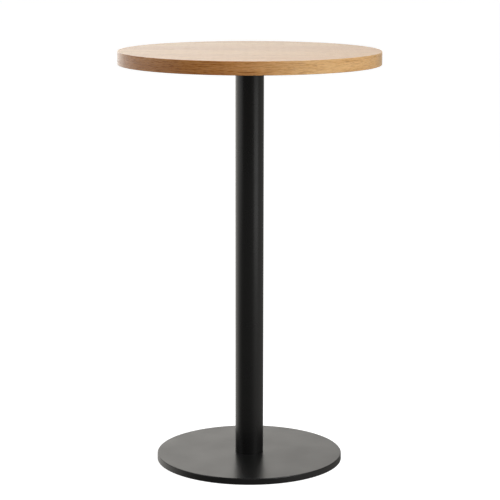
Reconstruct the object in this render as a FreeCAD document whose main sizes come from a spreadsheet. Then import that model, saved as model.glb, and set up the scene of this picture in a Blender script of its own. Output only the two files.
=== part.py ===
import FreeCAD, Part
import Sketcher
import os

# Round bar table: a veneered board on a steel column and a weighted disc base.
# The origin is on the floor below the middle of the column, and +Z is up.
# The column is clamped between the base and the mounting plate by one long rod.
# Each piece is drawn about its own origin and then lifted to its place.

doc = FreeCAD.newDocument("bar_table")

# Driving sizes in millimetres, grouped by the piece that carries them.
sizes = [
    # whole table
    ("pedestal_height", 1083, "floor to the underside of the top"),
    ("top_dia", 700, "outer diameter of the top"),
    ("top_thick", 35, "thickness of the top with its veneers"),
    ("cover_dia", 505, "outer diameter of the base at its lower rim"),
    # top
    ("veneer_thick", 0.6, "veneer on each face of the core board"),
    ("band_thick", 1.5, "oak strip around the edge"),
    ("band_arris", 1, "rounding of the strip's two outer edges"),
    ("band_joint", 0.2, "hairline where the strip's ends meet, at the back"),
    ("glue_line", 0.05, "glue between curved faces"),
    # mounting plate and what is welded to it
    ("plate_size", 300, "side of the square plate"),
    ("plate_thick", 4, "thickness of the plate"),
    ("plate_corner", 20, "radius of the plate's corners"),
    ("hole_edge", 25, "screw hole centre to the plate's edge"),
    ("hole_room", 0.75, "play around a screw in the plate"),
    ("ring_height", 20, "height of the ring that centres the tube's top"),
    ("ring_wall", 4, "wall of that ring"),
    ("nut_size", 16, "width across flats of the M10 nuts"),
    ("nut_height", 8.4, "height of the nut welded under the plate"),
    ("nut_bevel", 1, "height of the bevel on a nut's corners"),
    # wood screws
    ("screw_dia", 5, "outer diameter of the thread"),
    ("screw_length", 30, "length under the head"),
    ("screw_tip", 5, "length of the point"),
    ("head_dia", 10, "diameter of the screw's pan head"),
    ("head_face", 7, "diameter of the flat on the head"),
    ("head_height", 3.2, "height of the head"),
    ("head_side", 1.4, "upright part of the head's side"),
    ("cross_width", 1.2, "width of one slot of the cross recess"),
    ("cross_span", 4.6, "length of one slot of the cross recess"),
    ("cross_depth", 1.8, "depth of the cross recess"),
    ("screw_play", 0.05, "play between the thread and its hole in the wood"),
    ("pilot_extra", 1, "depth of the hole beyond the screw's point"),
    # column and tie rod
    ("tube_dia", 76.1, "outer diameter of the column"),
    ("tube_wall", 2, "wall of the column"),
    ("locate_play", 0.2, "radial play of the parts that centre the tube"),
    ("rod_dia", 10, "diameter of the tie rod"),
    ("rod_bevel", 1, "bevel on the rod's ends"),
    ("rod_room", 0.5, "radial play of the rod in the parts it passes"),
    ("rod_below", 1, "rod that shows under its lower nut"),
    ("rod_top_gap", 2, "rod's upper end to the top of the plate"),
    ("thread_play", 0.05, "radial play in a threaded hole"),
    # base
    ("rim_gap", 1.5, "floor to the lower rim of the cover"),
    ("skirt_drop", 1.5, "cover's rim below the ballast"),
    ("cover_wall", 1.5, "sheet of the cover"),
    ("cover_draft", 0.3, "how far the cover's side leans in"),
    ("cover_edge", 2, "outer radius of the cover's pressed edge"),
    ("ballast_thick", 14, "thickness of the ballast disc"),
    ("ballast_room", 2, "play between the ballast and the cover's side"),
    ("disc_height", 15, "height of the disc that centres the tube's foot"),
    ("disc_seat", 2, "depth of its seat in the ballast"),
    ("washer_dia", 30, "diameter of the washer under the tie nut"),
    ("washer_thick", 2.5, "thickness of the washer"),
    ("washer_room", 5, "play around the washer in its recess"),
    ("thin_nut_height", 5, "height of the tie nut"),
    # levelling glides
    ("glide_inset", 37.5, "glide's centre to the cover's outer rim"),
    ("stem_thread", 8, "threaded hole for the glide's stem"),
    ("stem_head_dia", 12, "diameter of the stem's head"),
    ("stem_head_height", 2.6, "height of the stem's head"),
    ("stem_bevel", 1, "bevel on the stem's upper end"),
    ("stem_top_gap", 0.6, "stem's upper end to the cover"),
    ("key_size", 5, "width across flats of the socket in the stem's head"),
    ("key_depth", 3, "depth of the socket"),
    ("key_hole", 7, "hole through which the key reaches the socket"),
    ("swivel_play", 0.1, "play between the stem's head and the foot"),
    ("foot_dia", 30, "diameter of the foot"),
    ("foot_height", 7, "height of the foot"),
    ("foot_taper", 1.5, "how far the foot's side leans in"),
    ("foot_rim", 2, "foot around its sole"),
    ("foot_floor", 1, "foot between the sole and the stem's head"),
    ("foot_gap", 0.3, "foot to the ballast when screwed home"),
    ("pocket_room", 3, "play around the foot in its pocket"),
    ("sole_thick", 2, "thickness of the sole"),
    ("sole_inset", 1.5, "depth of the sole in the foot"),
    ("sole_bevel", 0.5, "bevel on the sole's lower edge"),
    # all cuts
    ("cut_over", 1, "how far a cut runs past the face it leaves"),
]
same_place = 1e-6

sheet = doc.addObject("Spreadsheet::Sheet", "dim")
sheet.Label = "dim"
for row, (alias, number, note) in enumerate(sizes, start=1):
    sheet.set(f"A{row}", alias)
    sheet.set(f"B{row}", str(number))
    sheet.set(f"C{row}", note)
    sheet.setAlias(f"B{row}", alias)
doc.recompute()

# Levels and diameters that several pieces share, worked out from the sizes.
core_dia = "(dim.top_dia - 2 * dim.band_thick - 2 * dim.glue_line)"
core_thick = "(dim.top_thick - 2 * dim.veneer_thick)"
tube_bore = "(dim.tube_dia - 2 * dim.tube_wall)"
spigot_dia = f"({tube_bore} - 2 * dim.locate_play)"
plate_bottom = "(dim.pedestal_height - dim.plate_thick)"
hole_place = "(dim.plate_size / 2 - dim.hole_edge)"
pilot_dia = "(dim.screw_dia + 2 * dim.screw_play)"
rod_hole = "(dim.rod_dia + 2 * dim.rod_room)"
nut_bore = "(dim.rod_dia + 2 * dim.thread_play)"
ballast_bottom = "(dim.rim_gap + dim.skirt_drop)"
ballast_top = f"({ballast_bottom} + dim.ballast_thick)"
base_top = f"({ballast_top} + dim.cover_wall)"
recess_depth = "(dim.washer_thick + dim.thin_nut_height)"
stem_dia = "(dim.stem_thread - 2 * dim.thread_play)"
sole_dia = "(dim.foot_dia - 2 * dim.foot_rim)"
foot_bottom = "(dim.sole_thick - dim.sole_inset)"
pocket_top = f"({foot_bottom} + dim.foot_height + dim.foot_gap)"
stem_bottom = "(dim.sole_thick + dim.foot_floor + dim.swivel_play)"
glide_place = "((dim.cover_dia / 2 - dim.glide_inset) / sqrt(2))"


def value(expression):
    """The number that an expression in the sheet's sizes has now."""
    return float(sheet.evalExpression(expression))


def new_body(name, height, side="0", back="0"):
    """An empty body, placed by three expressions."""
    body = doc.addObject("PartDesign::Body", name)
    body.Label = name
    for axis, expression in (("x", side), ("y", back), ("z", height)):
        body.setExpression(f"Placement.Base.{axis}", expression)
    return body


def new_sketch(body, name, role):
    """An empty sketch on one of the body's own origin planes."""
    sketch = body.newObject("Sketcher::SketchObject", name)
    plane = [item for item in body.Origin.OriginFeatures if item.Role == role][0]
    sketch.AttachmentSupport = [(plane, "")]
    sketch.MapMode = "FlatFace"
    return sketch


def pin_point(sketch, item, vertex, across, up):
    """Hold one point of a sketch at two expressions from the origin."""
    for kind, axis, expression in (("DistanceX", -2, across), ("DistanceY", -1, up)):
        if expression == "0":
            sketch.addConstraint(Sketcher.Constraint("PointOnObject", item, vertex, axis))
            continue
        rule = Sketcher.Constraint(kind, -1, 1, item, vertex, value(expression))
        index = sketch.addConstraint(rule)
        sketch.setExpression(f"Constraints[{index}]", expression)


def outline(body, name, role, corners):
    """A closed outline with straight sides through the given corners."""
    sketch = new_sketch(body, name, role)
    points = [FreeCAD.Vector(value(across), value(up), 0) for across, up in corners]
    for start, end in zip(points, points[1:] + points[:1]):
        sketch.addGeometry(Part.LineSegment(start, end), False)
    for side in range(len(points)):
        following = (side + 1) % len(points)
        sketch.addConstraint(Sketcher.Constraint("Coincident", side, 2, following, 1))
    for side, (across, up) in enumerate(corners):
        pin_point(sketch, side, 1, across, up)
    return sketch


def circles(body, name, diameters, across="0", up="0"):
    """Circles about one centre, seen from above."""
    sketch = new_sketch(body, name, "XY_Plane")
    centre = FreeCAD.Vector(value(across), value(up), 0)
    for number, diameter in enumerate(diameters):
        ring = Part.Circle(centre, FreeCAD.Vector(0, 0, 1), value(diameter) / 2)
        sketch.addGeometry(ring, False)
        index = sketch.addConstraint(Sketcher.Constraint("Diameter", number, value(diameter)))
        sketch.setExpression(f"Constraints[{index}]", diameter)
        pin_point(sketch, number, 3, across, up)
    return sketch


def hexagon(body, name, across_flats):
    """A regular hexagon about the origin, seen from above, with two flats facing +Y and -Y."""
    half, corner = f"{across_flats} / 2", f"{across_flats} / sqrt(3)"
    return outline(body, name, "XY_Plane", [
        (corner, "0"), (f"{corner} / 2", half), (f"-{corner} / 2", half),
        (f"-{corner}", "0"), (f"-{corner} / 2", f"-{half}"), (f"{corner} / 2", f"-{half}"),
    ])


def pad(body, name, sketch, height):
    """Raise a sketch to a height."""
    feature = body.newObject("PartDesign::Pad", name)
    feature.Profile = sketch
    feature.setExpression("Length", height)
    doc.recompute()
    return feature


def turn(body, name, sketch):
    """Turn an upright outline about the vertical axis."""
    feature = body.newObject("PartDesign::Revolution", name)
    feature.Profile = sketch
    feature.ReferenceAxis = (sketch, ["V_Axis"])
    feature.Angle = 360
    doc.recompute()
    return feature


def must_cut(feature, volume_before):
    """Stop if a cut took nothing away."""
    doc.recompute()
    if not feature.Shape.Volume < volume_before:
        raise RuntimeError(f"{feature.Label} cuts nothing")
    return feature


def pocket(body, name, sketch, depth=None):
    """Cut a sketch upwards, to a depth or right through."""
    volume_before = body.Shape.Volume
    feature = body.newObject("PartDesign::Pocket", name)
    feature.Profile = sketch
    feature.Reversed = True
    if depth is None:
        feature.Type = "ThroughAll"
    else:
        feature.setExpression("Length", depth)
    return must_cut(feature, volume_before)


def groove(body, name, sketch):
    """Cut an upright outline out of the body all round the vertical axis."""
    volume_before = body.Shape.Volume
    feature = body.newObject("PartDesign::Groove", name)
    feature.Profile = sketch
    feature.ReferenceAxis = (sketch, ["V_Axis"])
    feature.Angle = 360
    return must_cut(feature, volume_before)


def four_times(body, name, cuts):
    """Repeat cuts four times about the vertical axis."""
    volume_before = body.Shape.Volume
    axis = [item for item in body.Origin.OriginFeatures if item.Role == "Z_Axis"][0]
    feature = body.newObject("PartDesign::PolarPattern", name)
    feature.Originals = cuts
    feature.Axis = (axis, [""])
    feature.Angle = 360
    feature.Occurrences = 4
    body.Tip = feature
    return must_cut(feature, volume_before)


def ring_edges(shape, radius, height):
    """The names of the circular edges with this radius at this height."""
    names = []
    for number, edge in enumerate(shape.Edges, start=1):
        if edge.Curve.TypeId != "Part::GeomCircle":
            continue
        same_radius = abs(edge.Curve.Radius - value(radius)) < same_place
        if same_radius and abs(edge.Curve.Center.z - value(height)) < same_place:
            names.append(f"Edge{number}")
    return names


def round_off(body, name, base, edges, radius):
    """Round the named edges of a feature."""
    feature = body.newObject("PartDesign::Fillet", name)
    feature.Base = (base, edges)
    feature.setExpression("Radius", radius)
    doc.recompute()
    return feature


def screw_holes(body, diameter, depth=None):
    """Eight holes from below, at the corners and mid-sides of the mounting plate."""
    for name, back in (("corner", hole_place), ("side", "0")):
        sketch = circles(body, f"{body.Label}_{name}_hole", [diameter], hole_place, back)
        hole = pocket(body, f"{body.Label}_{name}_cut", sketch, depth)
        four_times(body, f"{body.Label}_{name}_holes", [hole])


def core_board():
    """Chipboard disc that gives the top its thickness."""
    body = new_body("core_board", "dim.pedestal_height + dim.veneer_thick")
    pad(body, "core_disc", circles(body, "core_rim", [core_dia]), core_thick)
    depth = "dim.screw_length - dim.plate_thick - dim.veneer_thick + dim.pilot_extra"
    screw_holes(body, pilot_dia, depth)
    return body


def face_veneer():
    """Oak veneer on the upper face."""
    height = "dim.pedestal_height + dim.top_thick - dim.veneer_thick"
    body = new_body("face_veneer", height)
    pad(body, "face_disc", circles(body, "face_rim", [core_dia]), "dim.veneer_thick")
    return body


def backing_veneer():
    """Veneer on the lower face, which keeps the board flat."""
    body = new_body("backing_veneer", "dim.pedestal_height")
    pad(body, "backing_disc", circles(body, "backing_rim", [core_dia]), "dim.veneer_thick")
    screw_holes(body, pilot_dia)
    return body


def edge_band():
    """Oak strip glued around the board, with its two ends meeting at the back."""
    outer, inner = "dim.top_dia / 2", "dim.top_dia / 2 - dim.band_thick"
    body = new_body("edge_band", "dim.pedestal_height")
    section = outline(body, "band_section", "XZ_Plane", [
        (inner, "0"), (outer, "0"), (outer, "dim.top_thick"), (inner, "dim.top_thick"),
    ])
    band = turn(body, "band_ring", section)
    rims = ring_edges(band.Shape, outer, "0") + ring_edges(band.Shape, outer, "dim.top_thick")
    round_off(body, "band_arrises", band, rims, "dim.band_arris")
    joint = outline(body, "band_joint", "XY_Plane", [
        ("-dim.band_joint / 2", f"{inner} - dim.cut_over"),
        ("dim.band_joint / 2", f"{inner} - dim.cut_over"),
        ("dim.band_joint / 2", f"{outer} + dim.cut_over"),
        ("-dim.band_joint / 2", f"{outer} + dim.cut_over"),
    ])
    pocket(body, "band_joint_cut", joint)
    return body


def mounting_plate():
    """Square steel plate that carries the top."""
    half = "dim.plate_size / 2"
    body = new_body("mounting_plate", plate_bottom)
    square = outline(body, "plate_outline", "XY_Plane", [
        (f"-{half}", f"-{half}"), (half, f"-{half}"), (half, half), (f"-{half}", half),
    ])
    plate = pad(body, "plate", square, "dim.plate_thick")
    corners = []
    for number, edge in enumerate(plate.Shape.Edges, start=1):
        if abs(edge.tangentAt(edge.FirstParameter).z) > 0.5:
            corners.append(f"Edge{number}")
    round_off(body, "plate_corners", plate, corners, "dim.plate_corner")
    pocket(body, "rod_hole_cut", circles(body, "plate_rod_hole", [rod_hole]))
    screw_holes(body, "dim.screw_dia + 2 * dim.hole_room")
    return body


def plate_locating_ring():
    """Ring welded under the plate, which centres the upper end of the tube."""
    body = new_body("plate_locating_ring", f"{plate_bottom} - dim.ring_height")
    ring = circles(body, "ring_section", [spigot_dia, f"{spigot_dia} - 2 * dim.ring_wall"])
    pad(body, "ring_wall", ring, "dim.ring_height")
    return body


def hex_nut(name, level, height):
    """Hexagonal nut with bevelled lower corners."""
    body = new_body(name, level)
    pad(body, f"{name}_block", hexagon(body, f"{name}_hexagon", "dim.nut_size"), height)
    corner, flat = "dim.nut_size / sqrt(3)", "dim.nut_size / 2"
    bevel = outline(body, f"{name}_bevel", "XZ_Plane", [
        (f"{flat} - dim.nut_bevel", "0"),
        (f"{corner} + dim.nut_bevel", "0"),
        (f"{corner} + dim.nut_bevel", "dim.nut_bevel"),
        (f"{corner}", "dim.nut_bevel"),
    ])
    groove(body, f"{name}_bevel_cut", bevel)
    pocket(body, f"{name}_bore_cut", circles(body, f"{name}_bore", [nut_bore]))
    return body


def top_screws():
    """Eight pan-head wood screws, in one group."""
    screws = []
    places = [(side, back) for side in (-1, 0, 1) for back in (-1, 0, 1) if side or back]
    for number, (side, back) in enumerate(places, start=1):
        name = f"top_screw_{number}"
        level = f"{plate_bottom} - dim.head_height"
        body = new_body(name, level, f"{side} * {hole_place}", f"{back} * {hole_place}")
        top = "dim.head_height + dim.screw_length"
        section = outline(body, f"{name}_section", "XZ_Plane", [
            ("0", "0"),
            ("dim.head_face / 2", "0"),
            ("dim.head_dia / 2", "dim.head_height - dim.head_side"),
            ("dim.head_dia / 2", "dim.head_height"),
            ("dim.screw_dia / 2", "dim.head_height"),
            ("dim.screw_dia / 2", f"{top} - dim.screw_tip"),
            ("0", top),
        ])
        turn(body, f"{name}_turned", section)
        wide, long = "dim.cross_width / 2", "dim.cross_span / 2"
        cross = outline(body, f"{name}_cross", "XY_Plane", [
            (long, f"-{wide}"), (long, wide), (wide, wide), (wide, long),
            (f"-{wide}", long), (f"-{wide}", wide), (f"-{long}", wide), (f"-{long}", f"-{wide}"),
            (f"-{wide}", f"-{wide}"), (f"-{wide}", f"-{long}"), (wide, f"-{long}"), (wide, f"-{wide}"),
        ])
        pocket(body, f"{name}_cross_cut", cross, "dim.cross_depth")
        screws.append(body)
    group = doc.addObject("Part::Compound", "top_screws")
    group.Label = "top_screws"
    group.Links = screws
    return group


def column_tube():
    """Round tube that stands on the base cover and carries the plate."""
    body = new_body("column_tube", base_top)
    pad(body, "tube", circles(body, "tube_section", ["dim.tube_dia", tube_bore]),
        f"{plate_bottom} - {base_top}")
    return body


def tie_rod():
    """Threaded rod through the whole column, drawn without its thread."""
    body = new_body("tie_rod", f"{ballast_bottom} - dim.rod_below")
    top = f"dim.pedestal_height - dim.rod_top_gap - {ballast_bottom} + dim.rod_below"
    section = outline(body, "rod_section", "XZ_Plane", [
        ("0", "0"),
        ("dim.rod_dia / 2 - dim.rod_bevel", "0"),
        ("dim.rod_dia / 2", "dim.rod_bevel"),
        ("dim.rod_dia / 2", f"{top} - dim.rod_bevel"),
        ("dim.rod_dia / 2 - dim.rod_bevel", top),
        ("0", top),
    ])
    turn(body, "rod", section)
    return body


def centring_disc():
    """Disc seated in the ballast, which passes the cover and centres the tube's foot."""
    body = new_body("centring_disc", f"{ballast_top} - dim.disc_seat")
    pad(body, "disc", circles(body, "disc_section", [spigot_dia, rod_hole]), "dim.disc_height")
    return body


def base_cover():
    """Pressed sheet cover over the ballast, held down by the column."""
    outer, height = "dim.cover_dia / 2", "(dim.skirt_drop + dim.ballast_thick + dim.cover_wall)"
    shoulder = f"{outer} - dim.cover_draft"
    body = new_body("base_cover", "dim.rim_gap")
    section = outline(body, "cover_section", "XZ_Plane", [
        (outer, "0"),
        (shoulder, height),
        (f"{tube_bore} / 2", height),
        (f"{tube_bore} / 2", f"{height} - dim.cover_wall"),
        (f"{shoulder} - dim.cover_wall", f"{height} - dim.cover_wall"),
        (f"{outer} - dim.cover_wall", "0"),
    ])
    dish = turn(body, "cover_dish", section)
    edge = ring_edges(dish.Shape, shoulder, height)
    bend = round_off(body, "cover_outer_bend", dish, edge, "dim.cover_edge")
    inside = ring_edges(bend.Shape, f"{shoulder} - dim.cover_wall", f"{height} - dim.cover_wall")
    round_off(body, "cover_inner_bend", bend, inside, "dim.cover_edge - dim.cover_wall")
    return body


def ballast_disc():
    """Cast-iron disc that weighs the table down and carries the four glides."""
    rim = "dim.cover_dia / 2 - dim.cover_wall - dim.cover_draft - dim.ballast_room"
    recess = "dim.washer_dia / 2 + dim.washer_room"
    seat = f"{spigot_dia} / 2 + dim.locate_play"
    body = new_body("ballast_disc", ballast_bottom)
    section = outline(body, "ballast_section", "XZ_Plane", [
        (recess, "0"),
        (rim, "0"),
        (rim, "dim.ballast_thick"),
        (seat, "dim.ballast_thick"),
        (seat, "dim.ballast_thick - dim.disc_seat"),
        (f"{rod_hole} / 2", "dim.ballast_thick - dim.disc_seat"),
        (f"{rod_hole} / 2", recess_depth),
        (recess, recess_depth),
    ])
    turn(body, "ballast", section)
    pocket_dia = "dim.foot_dia + 2 * dim.pocket_room"
    wide = circles(body, "foot_pocket", [pocket_dia], glide_place, glide_place)
    foot = pocket(body, "foot_pocket_cut", wide, f"{pocket_top} - {ballast_bottom}")
    narrow = circles(body, "stem_hole", ["dim.stem_thread"], glide_place, glide_place)
    stem = pocket(body, "stem_hole_cut", narrow)
    four_times(body, "glide_seats", [foot, stem])
    return body


def tie_washer():
    """Large washer that spreads the rod's pull over the ballast."""
    body = new_body("tie_washer", f"{ballast_bottom} + dim.thin_nut_height")
    pad(body, "washer", circles(body, "washer_section", ["dim.washer_dia", rod_hole]),
        "dim.washer_thick")
    return body


def glide_foot(number, side, back):
    """Plastic foot that swivels on its stem."""
    name = f"glide_foot_{number}"
    body = new_body(name, foot_bottom, side, back)
    sole_room = f"{sole_dia} / 2 + dim.glue_line"
    head_room = "dim.stem_head_dia / 2 + dim.swivel_play"
    neck = f"{stem_dia} / 2 + dim.swivel_play"
    floor = "(dim.sole_inset + dim.foot_floor)"
    roof = f"{floor} + dim.stem_head_height + 2 * dim.swivel_play"
    section = outline(body, f"{name}_section", "XZ_Plane", [
        ("dim.key_hole / 2", "dim.sole_inset"),
        (sole_room, "dim.sole_inset"),
        (sole_room, "0"),
        ("dim.foot_dia / 2", "0"),
        ("dim.foot_dia / 2 - dim.foot_taper", "dim.foot_height"),
        (neck, "dim.foot_height"),
        (neck, roof),
        (head_room, roof),
        (head_room, floor),
        ("dim.key_hole / 2", floor),
    ])
    turn(body, f"{name}_turned", section)
    return body


def glide_sole(number, side, back):
    """Soft sole under the foot, open in the middle for the key."""
    name = f"glide_sole_{number}"
    body = new_body(name, "0", side, back)
    section = outline(body, f"{name}_section", "XZ_Plane", [
        ("dim.key_hole / 2", "0"),
        (f"{sole_dia} / 2 - dim.sole_bevel", "0"),
        (f"{sole_dia} / 2", "dim.sole_bevel"),
        (f"{sole_dia} / 2", "dim.sole_thick"),
        ("dim.key_hole / 2", "dim.sole_thick"),
    ])
    turn(body, f"{name}_turned", section)
    return body


def glide_stem(number, side, back):
    """Steel stem, screwed into the ballast, with a hexagon socket in its head."""
    name = f"glide_stem_{number}"
    body = new_body(name, stem_bottom, side, back)
    top = f"{ballast_top} - dim.stem_top_gap - {stem_bottom}"
    section = outline(body, f"{name}_section", "XZ_Plane", [
        ("0", "0"),
        ("dim.stem_head_dia / 2", "0"),
        ("dim.stem_head_dia / 2", "dim.stem_head_height"),
        (f"{stem_dia} / 2", "dim.stem_head_height"),
        (f"{stem_dia} / 2", f"{top} - dim.stem_bevel"),
        (f"{stem_dia} / 2 - dim.stem_bevel", top),
        ("0", top),
    ])
    turn(body, f"{name}_turned", section)
    socket = hexagon(body, f"{name}_socket", "dim.key_size")
    pocket(body, f"{name}_socket_cut", socket, "dim.key_depth")
    return body


pieces = [
    core_board(),
    face_veneer(),
    backing_veneer(),
    edge_band(),
    mounting_plate(),
    plate_locating_ring(),
    hex_nut("plate_weld_nut", f"{plate_bottom} - dim.nut_height", "dim.nut_height"),
    top_screws(),
    column_tube(),
    tie_rod(),
    centring_disc(),
    base_cover(),
    ballast_disc(),
    tie_washer(),
    hex_nut("tie_nut", ballast_bottom, "dim.thin_nut_height"),
]
glide_corners = [(1, 1), (-1, 1), (-1, -1), (1, -1)]
for number, (side, back) in enumerate(glide_corners, start=1):
    place = (f"{side} * {glide_place}", f"{back} * {glide_place}")
    pieces.append(glide_foot(number, *place))
    pieces.append(glide_sole(number, *place))
    pieces.append(glide_stem(number, *place))
doc.recompute()

for item in doc.Objects:
    if "Invalid" in item.State or "Error" in item.State:
        raise RuntimeError(f"{item.Label} failed: {item.State}")
for piece in pieces:
    if piece.Shape.isNull() or not piece.Shape.isValid():
        raise RuntimeError(f"{piece.Label} has no valid shape")

os.makedirs("parts", exist_ok=True)
for piece in pieces:
    piece.Shape.exportStep(f"parts/{piece.Label}.step")
    print(piece.Label, len(piece.Shape.Solids), round(piece.Shape.Volume))
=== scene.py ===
import bmesh
import bpy
import math
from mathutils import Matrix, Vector


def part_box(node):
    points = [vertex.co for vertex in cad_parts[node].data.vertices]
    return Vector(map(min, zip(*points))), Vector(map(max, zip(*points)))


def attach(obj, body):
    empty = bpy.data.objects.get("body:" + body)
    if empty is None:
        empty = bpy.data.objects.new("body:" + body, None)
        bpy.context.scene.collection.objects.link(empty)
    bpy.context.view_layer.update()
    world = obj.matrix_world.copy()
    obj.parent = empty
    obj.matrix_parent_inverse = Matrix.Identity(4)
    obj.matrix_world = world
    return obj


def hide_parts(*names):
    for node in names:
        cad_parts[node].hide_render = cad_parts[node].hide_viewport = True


# Round bar table: lacquered oak top on a powder-coated steel column and disc base.
# Everything is in metres, +Z up, and the photograph looks along +Y.

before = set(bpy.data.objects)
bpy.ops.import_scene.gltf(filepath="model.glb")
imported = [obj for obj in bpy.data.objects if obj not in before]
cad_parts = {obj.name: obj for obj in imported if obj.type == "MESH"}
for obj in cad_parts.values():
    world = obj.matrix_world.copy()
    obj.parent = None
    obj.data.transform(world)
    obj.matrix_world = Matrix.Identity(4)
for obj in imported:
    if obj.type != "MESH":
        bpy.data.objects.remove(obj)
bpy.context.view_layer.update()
mm = 0.001
fullTurn = 2 * math.pi
quarterTurn = fullTurn / 4
weldGap = 0.002 * mm             # points closer than this are welded
samePlace = 0.01 * mm            # points this close count as one place
overrun = 1 * mm                 # how far a cutter runs past the face it cuts
# how finely rounded edges are drawn
chamferSegments = 1
easeSegments = 2
smallRoundSegments = 3
roundSegments = 4
glideNumbers = (1, 2, 3, 4)


# modelling helpers

def startClean():
    if bpy.context.object and bpy.context.object.mode != "OBJECT":
        bpy.ops.object.mode_set(mode="OBJECT")
    bpy.ops.object.select_all(action="DESELECT")


def makeActive(*pieces):
    startClean()
    for piece in pieces:
        piece.select_set(True)
    bpy.context.view_layer.objects.active = pieces[0]


def editMesh(piece, selectMode):
    # edit mode with nothing selected
    makeActive(piece)
    bpy.ops.object.mode_set(mode="EDIT")
    bpy.ops.mesh.select_mode(type=selectMode)
    bpy.ops.mesh.select_all(action="DESELECT")


def pick(piece, kind, wanted):
    # selects the verts, edges or faces that pass the test, on top of what is selected
    mesh = bmesh.from_edit_mesh(piece.data)
    elements = {"verts": mesh.verts, "edges": mesh.edges, "faces": mesh.faces}[kind]
    for element in elements:
        if wanted(element):
            element.select_set(True)
    mesh.select_flush_mode()
    bmesh.update_edit_mesh(piece.data)


def applyModifier(piece, kind, **settings):
    makeActive(piece)
    modifier = piece.modifiers.new(kind.lower(), kind)
    for name, value in settings.items():
        setattr(modifier, name, value)
    bpy.ops.object.modifier_apply(modifier=modifier.name)


def cleanMesh(piece):
    # welds doubled points and turns every face outwards; a fine thread can come out inside out,
    # which its volume shows
    editMesh(piece, "VERT")
    bpy.ops.mesh.select_all(action="SELECT")
    bpy.ops.mesh.remove_doubles(threshold=weldGap)
    bpy.ops.mesh.normals_make_consistent(inside=False)
    if bmesh.from_edit_mesh(piece.data).calc_volume(signed=True) < 0:
        bpy.ops.mesh.flip_normals()
    bpy.ops.object.mode_set(mode="OBJECT")


def drawSection(name, corners, rounding=()):
    # an upright closed outline, drawn corner by corner as (distance from the axis, height);
    # rounding holds (corner number, radius, segments)
    startClean()
    bpy.ops.mesh.primitive_plane_add(size=mm, location=(0, 0, 0))
    piece = bpy.context.object
    piece.name = name
    bpy.ops.object.mode_set(mode="EDIT")
    bpy.ops.mesh.select_all(action="SELECT")
    bpy.ops.mesh.merge(type="CENTER")
    bpy.ops.transform.translate(value=(corners[0][0], 0, corners[0][1]))
    for here, there in zip(corners, corners[1:]):
        step = (there[0] - here[0], 0, there[1] - here[1])
        bpy.ops.mesh.extrude_region_move(TRANSFORM_OT_translate={"value": step})
    bpy.ops.mesh.select_all(action="SELECT")
    bpy.ops.mesh.edge_face_add()
    for number, radius, segments in rounding:
        bpy.ops.mesh.select_mode(type="VERT")
        bpy.ops.mesh.select_all(action="DESELECT")
        spot = Vector((corners[number][0], 0, corners[number][1]))
        pick(piece, "verts", lambda vert: (vert.co - spot).length < samePlace)
        bpy.ops.mesh.bevel(offset=radius, segments=segments, affect="VERTICES")
    bpy.ops.mesh.select_all(action="SELECT")
    bpy.ops.mesh.delete(type="ONLY_FACE")
    bpy.ops.object.mode_set(mode="OBJECT")
    return piece


def lathe(name, corners, rounding=(), steps=96, centre=(0, 0)):
    # turns a section all round the vertical axis, then moves it to its centre
    piece = drawSection(name, corners, rounding)
    editMesh(piece, "VERT")
    bpy.ops.mesh.select_all(action="SELECT")
    bpy.ops.mesh.spin(steps=steps, angle=fullTurn, center=(0, 0, 0), axis=(0, 0, 1))
    bpy.ops.mesh.select_all(action="SELECT")
    bpy.ops.mesh.remove_doubles(threshold=weldGap)
    bpy.ops.mesh.delete_loose(use_verts=True, use_edges=True, use_faces=False)
    bpy.ops.mesh.select_all(action="SELECT")
    bpy.ops.mesh.normals_make_consistent(inside=False)
    bpy.ops.transform.translate(value=(centre[0], centre[1], 0))
    bpy.ops.object.mode_set(mode="OBJECT")
    return piece


def addCylinder(name, radius, low, high, steps, centre=(0, 0), turn=0):
    startClean()
    bpy.ops.mesh.primitive_cylinder_add(vertices=steps, radius=radius, depth=high - low,
                                        location=(centre[0], centre[1], (low + high) / 2),
                                        rotation=(0, 0, turn))
    piece = bpy.context.object
    piece.name = name
    bpy.ops.object.transform_apply(location=True, rotation=True, scale=True)
    return piece


def addBox(name, size, place):
    startClean()
    bpy.ops.mesh.primitive_cube_add(size=1, location=place, scale=size)
    piece = bpy.context.object
    piece.name = name
    bpy.ops.object.transform_apply(location=True, rotation=True, scale=True)
    return piece


def joinPieces(name, pieces):
    makeActive(*pieces)
    bpy.ops.object.join()
    pieces[0].name = name
    return pieces[0]


def copyTo(piece, name, centre, turn=0):
    # a copy of a piece that stands on the axis, turned and moved to its own centre
    makeActive(piece)
    bpy.ops.object.duplicate(linked=False)
    copied = bpy.context.object
    copied.name = name
    copied.data.name = name
    bpy.ops.transform.rotate(value=turn, orient_axis="Z", center_override=(0, 0, 0))
    bpy.ops.transform.translate(value=(centre[0], centre[1], 0))
    bpy.ops.object.transform_apply(location=True, rotation=True, scale=True)
    return copied


def combine(piece, operation, other):
    # DIFFERENCE cuts the other piece away, INTERSECT keeps what is inside it
    applyModifier(piece, "BOOLEAN", operation=operation, solver="EXACT", object=other)
    bpy.data.objects.remove(other)
    cleanMesh(piece)


# a thread's tooth in shares of its pitch, the turns wound before and beyond the bar, and how far
# past its ends they are first cut
tooth = {"crestFrom": 0.4, "crestTo": 0.6, "closingSide": 0.9, "turnsBefore": 2, "turnsSpare": 3,
         "roughCut": 0.5}


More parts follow.
